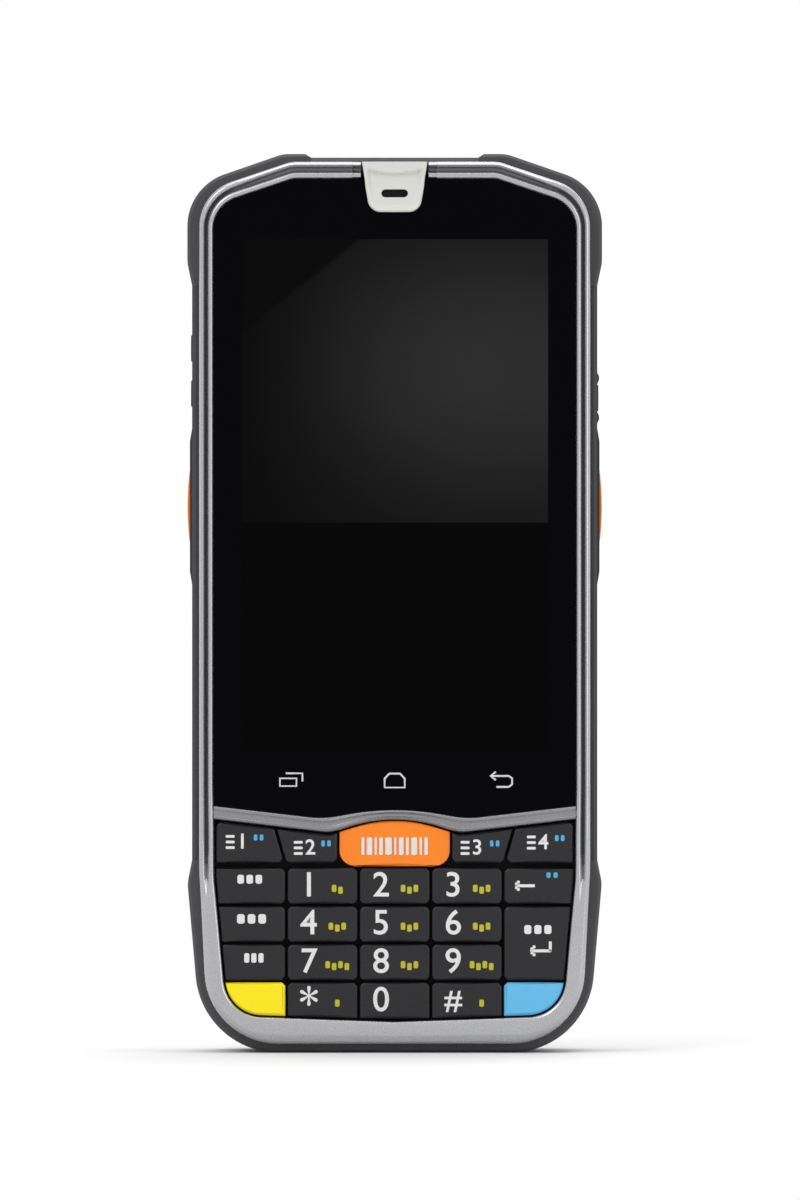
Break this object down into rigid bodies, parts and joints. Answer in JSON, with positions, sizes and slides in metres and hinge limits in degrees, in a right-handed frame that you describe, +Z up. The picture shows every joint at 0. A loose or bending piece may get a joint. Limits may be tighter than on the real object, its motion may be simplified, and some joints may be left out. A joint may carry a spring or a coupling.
{
  "type": "portable barcode data terminal",
  "caption": "Rugged handheld data terminal with a touch screen over a numeric keypad, orange scan key and side triggers, scan window in its top end and a battery door in its back",
  "frame": {"origin": "centre of the bounding box at its base, on the plane that the terminal stands on", "axes": "+Z up through the screen to the scan window, -Y out of the screen, +X to the right seen from the front"},
  "size_m": [0.0702, 0.026, 0.1521],
  "materials": {
    "housing_plastic": "fine matte texture",
    "bumper_rubber": "soft matte",
    "seal_rubber": "matte",
    "frame_silver": "satin metallic paint",
    "screen_glass": "polished black glass",
    "display_metal": "satin",
    "cover_white": "satin off-white",
    "dark_plastic": "matte",
    "mat_silicone": "matte",
    "board_green": "solder mask",
    "window_glass": "polished dark window",
    "flash_white": "frosted",
    "contact_brass": "gold plated",
    "battery_plastic": "matte",
    "bar_steel": "satin",
    "latch_plastic": "matte",
    "key_orange": "satin",
    "key_yellow": "satin",
    "key_blue": "satin",
    "key_dark": "satin",
    "button_rubber": "matte"
  },
  "bodies": {
    "case": {"rear_housing": "housing_plastic", "bumper_bottom": "bumper_rubber", "bumper_top_left": "bumper_rubber", "bumper_top_right": "bumper_rubber", "housing_seal": "seal_rubber", "front_frame": "frame_silver", "touch_glass": "screen_glass", "display_gasket": "seal_rubber", "display_module": "display_metal", "receiver_cover": "cover_white", "receiver_speaker": "dark_plastic", "key_mat": "mat_silicone", "key_board": "board_green", "main_board": "board_green", "shield_cans": "display_metal", "side_switches": "dark_plastic", "scan_engine": "dark_plastic", "scan_window": "window_glass", "camera_module": "dark_plastic", "camera_window": "window_glass", "flash_lens": "flash_white", "loudspeaker": "dark_plastic", "vibration_motor": "display_metal", "battery_contacts": "contact_brass", "battery_pack": "battery_plastic", "door_seal": "seal_rubber", "dock_connector": "dark_plastic", "strap_bar": "bar_steel", "housing_screws": "bar_steel"},
    "key_scan": {"key_scan": "key_orange"},
    "key_f1": {"key_f1": "key_dark"},
    "key_f2": {"key_f2": "key_dark"},
    "key_f3": {"key_f3": "key_dark"},
    "key_f4": {"key_f4": "key_dark"},
    "key_left_1": {"key_left_1": "key_dark"},
    "key_1": {"key_1": "key_dark"},
    "key_2": {"key_2": "key_dark"},
    "key_3": {"key_3": "key_dark"},
    "key_back": {"key_back": "key_dark"},
    "key_left_2": {"key_left_2": "key_dark"},
    "key_4": {"key_4": "key_dark"},
    "key_5": {"key_5": "key_dark"},
    "key_6": {"key_6": "key_dark"},
    "key_enter": {"key_enter": "key_dark"},
    "key_left_3": {"key_left_3": "key_dark"},
    "key_7": {"key_7": "key_dark"},
    "key_8": {"key_8": "key_dark"},
    "key_9": {"key_9": "key_dark"},
    "key_yellow": {"key_yellow": "key_yellow"},
    "key_star": {"key_star": "key_dark"},
    "key_0": {"key_0": "key_dark"},
    "key_hash": {"key_hash": "key_dark"},
    "key_blue": {"key_blue": "key_blue"},
    "trigger_left": {"trigger_left": "key_orange"},
    "trigger_right": {"trigger_right": "key_orange"},
    "volume_up": {"volume_up": "button_rubber"},
    "volume_down": {"volume_down": "button_rubber"},
    "power_button": {"power_button": "button_rubber"},
    "battery_door": {"battery_door": "housing_plastic"},
    "battery_latch": {"battery_latch": "latch_plastic"}
  },
  "joints": [
    {"name": "battery_door_hinge", "type": "hinge", "parent": "case", "child": "battery_door", "pos_m": [0, 0.013, 0.0964], "axis": [1, 0, 0], "range_deg": [0, 70]},
    {"name": "battery_latch_slide", "type": "slide", "parent": "battery_door", "child": "battery_latch", "axis": [0, 0, -1], "range_m": [0, 0.0022]},
    {"name": "trigger_left_press", "type": "slide", "parent": "case", "child": "trigger_left", "axis": [1, 0, 0], "range_m": [0, 0.0008], "stiffness_N_per_m": 900, "springref_m": -0.0005},
    {"name": "trigger_right_press", "type": "slide", "parent": "case", "child": "trigger_right", "axis": [-1, 0, 0], "range_m": [0, 0.0008], "stiffness_N_per_m": 900, "springref_m": -0.0005},
    {"name": "volume_up_press", "type": "slide", "parent": "case", "child": "volume_up", "axis": [1, 0, 0], "range_m": [0, 0.0004], "stiffness_N_per_m": 1200, "springref_m": -0.0005},
    {"name": "volume_down_press", "type": "slide", "parent": "case", "child": "volume_down", "axis": [1, 0, 0], "range_m": [0, 0.0004], "stiffness_N_per_m": 1200, "springref_m": -0.0005},
    {"name": "power_button_press", "type": "slide", "parent": "case", "child": "power_button", "axis": [-1, 0, 0], "range_m": [0, 0.0004], "stiffness_N_per_m": 1200, "springref_m": -0.0005},
    {"name": "key_scan_press", "type": "slide", "parent": "case", "child": "key_scan", "axis": [0, 1, 0], "range_m": [0, 0.0005], "stiffness_N_per_m": 900, "springref_m": -0.0005},
    {"name": "key_f1_press", "type": "slide", "parent": "case", "child": "key_f1", "axis": [0, 1, 0], "range_m": [0, 0.0005], "stiffness_N_per_m": 900, "springref_m": -0.0005},
    {"name": "key_f2_press", "type": "slide", "parent": "case", "child": "key_f2", "axis": [0, 1, 0], "range_m": [0, 0.0005], "stiffness_N_per_m": 900, "springref_m": -0.0005},
    {"name": "key_f3_press", "type": "slide", "parent": "case", "child": "key_f3", "axis": [0, 1, 0], "range_m": [0, 0.0005], "stiffness_N_per_m": 900, "springref_m": -0.0005},
    {"name": "key_f4_press", "type": "slide", "parent": "case", "child": "key_f4", "axis": [0, 1, 0], "range_m": [0, 0.0005], "stiffness_N_per_m": 900, "springref_m": -0.0005},
    {"name": "key_left_1_press", "type": "slide", "parent": "case", "child": "key_left_1", "axis": [0, 1, 0], "range_m": [0, 0.0005], "stiffness_N_per_m": 900, "springref_m": -0.0005},
    {"name": "key_1_press", "type": "slide", "parent": "case", "child": "key_1", "axis": [0, 1, 0], "range_m": [0, 0.0005], "stiffness_N_per_m": 900, "springref_m": -0.0005},
    {"name": "key_2_press", "type": "slide", "parent": "case", "child": "key_2", "axis": [0, 1, 0], "range_m": [0, 0.0005], "stiffness_N_per_m": 900, "springref_m": -0.0005},
    {"name": "key_3_press", "type": "slide", "parent": "case", "child": "key_3", "axis": [0, 1, 0], "range_m": [0, 0.0005], "stiffness_N_per_m": 900, "springref_m": -0.0005},
    {"name": "key_back_press", "type": "slide", "parent": "case", "child": "key_back", "axis": [0, 1, 0], "range_m": [0, 0.0005], "stiffness_N_per_m": 900, "springref_m": -0.0005},
    {"name": "key_left_2_press", "type": "slide", "parent": "case", "child": "key_left_2", "axis": [0, 1, 0], "range_m": [0, 0.0005], "stiffness_N_per_m": 900, "springref_m": -0.0005},
    {"name": "key_4_press", "type": "slide", "parent": "case", "child": "key_4", "axis": [0, 1, 0], "range_m": [0, 0.0005], "stiffness_N_per_m": 900, "springref_m": -0.0005},
    {"name": "key_5_press", "type": "slide", "parent": "case", "child": "key_5", "axis": [0, 1, 0], "range_m": [0, 0.0005], "stiffness_N_per_m": 900, "springref_m": -0.0005},
    {"name": "key_6_press", "type": "slide", "parent": "case", "child": "key_6", "axis": [0, 1, 0], "range_m": [0, 0.0005], "stiffness_N_per_m": 900, "springref_m": -0.0005},
    {"name": "key_enter_press", "type": "slide", "parent": "case", "child": "key_enter", "axis": [0, 1, 0], "range_m": [0, 0.0005], "stiffness_N_per_m": 900, "springref_m": -0.0005},
    {"name": "key_left_3_press", "type": "slide", "parent": "case", "child": "key_left_3", "axis": [0, 1, 0], "range_m": [0, 0.0005], "stiffness_N_per_m": 900, "springref_m": -0.0005},
    {"name": "key_7_press", "type": "slide", "parent": "case", "child": "key_7", "axis": [0, 1, 0], "range_m": [0, 0.0005], "stiffness_N_per_m": 900, "springref_m": -0.0005},
    {"name": "key_8_press", "type": "slide", "parent": "case", "child": "key_8", "axis": [0, 1, 0], "range_m": [0, 0.0005], "stiffness_N_per_m": 900, "springref_m": -0.0005},
    {"name": "key_9_press", "type": "slide", "parent": "case", "child": "key_9", "axis": [0, 1, 0], "range_m": [0, 0.0005], "stiffness_N_per_m": 900, "springref_m": -0.0005},
    {"name": "key_yellow_press", "type": "slide", "parent": "case", "child": "key_yellow", "axis": [0, 1, 0], "range_m": [0, 0.0005], "stiffness_N_per_m": 900, "springref_m": -0.0005},
    {"name": "key_star_press", "type": "slide", "parent": "case", "child": "key_star", "axis": [0, 1, 0], "range_m": [0, 0.0005], "stiffness_N_per_m": 900, "springref_m": -0.0005},
    {"name": "key_0_press", "type": "slide", "parent": "case", "child": "key_0", "axis": [0, 1, 0], "range_m": [0, 0.0005], "stiffness_N_per_m": 900, "springref_m": -0.0005},
    {"name": "key_hash_press", "type": "slide", "parent": "case", "child": "key_hash", "axis": [0, 1, 0], "range_m": [0, 0.0005], "stiffness_N_per_m": 900, "springref_m": -0.0005},
    {"name": "key_blue_press", "type": "slide", "parent": "case", "child": "key_blue", "axis": [0, 1, 0], "range_m": [0, 0.0005], "stiffness_N_per_m": 900, "springref_m": -0.0005}
  ]
}
